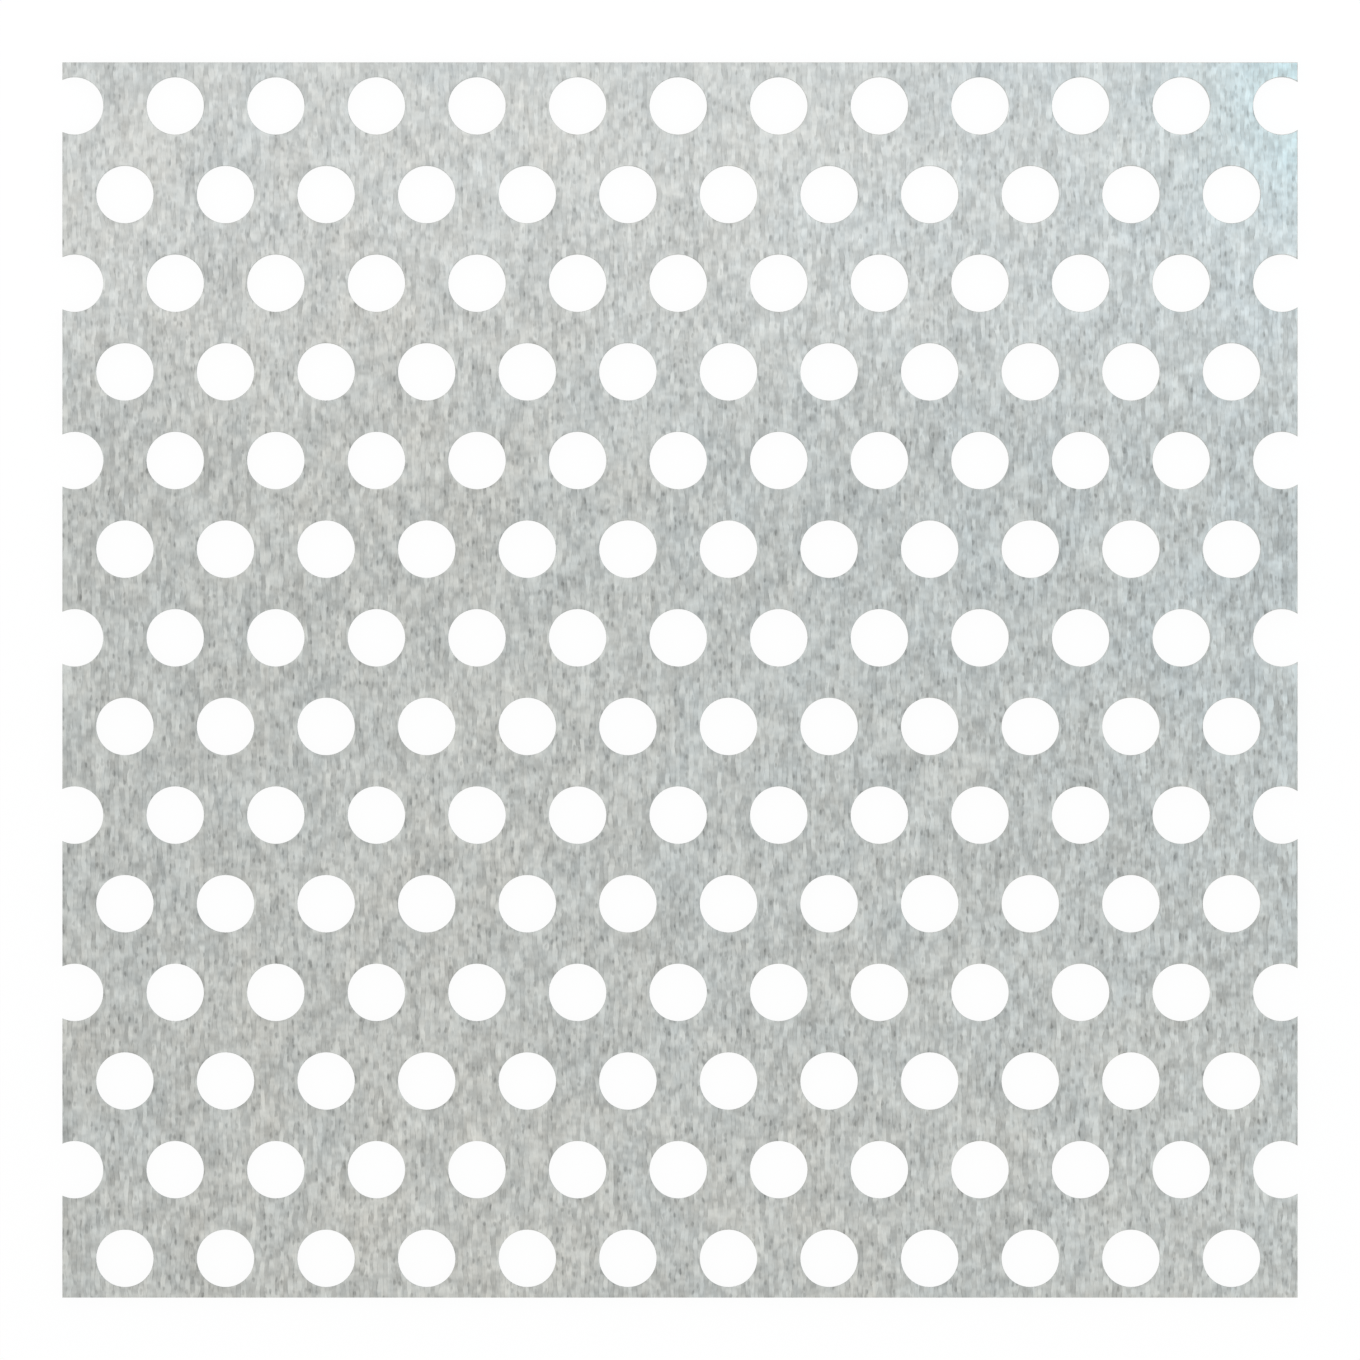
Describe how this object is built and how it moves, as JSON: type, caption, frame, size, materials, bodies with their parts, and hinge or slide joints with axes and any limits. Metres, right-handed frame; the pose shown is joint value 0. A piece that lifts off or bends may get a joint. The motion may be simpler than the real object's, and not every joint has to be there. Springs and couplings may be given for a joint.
{
  "type": "perforated metal sheet",
  "caption": "Flat square metal sheet punched all over with staggered round holes, for guards, screens and vents; side cuts pass through the end holes.",
  "frame": {"origin": "middle of the sheet's underside, where it rests", "axes": "+Z out of the upper face, +Y along the rolling direction towards the first row of holes, +X along the rows"},
  "size_m": [0.1364, 0.1364, 0.0016],
  "materials": {
    "mill_aluminium": "satin"
  },
  "bodies": {
    "root": {"perforated_sheet": "mill_aluminium"}
  },
  "joints": []
}
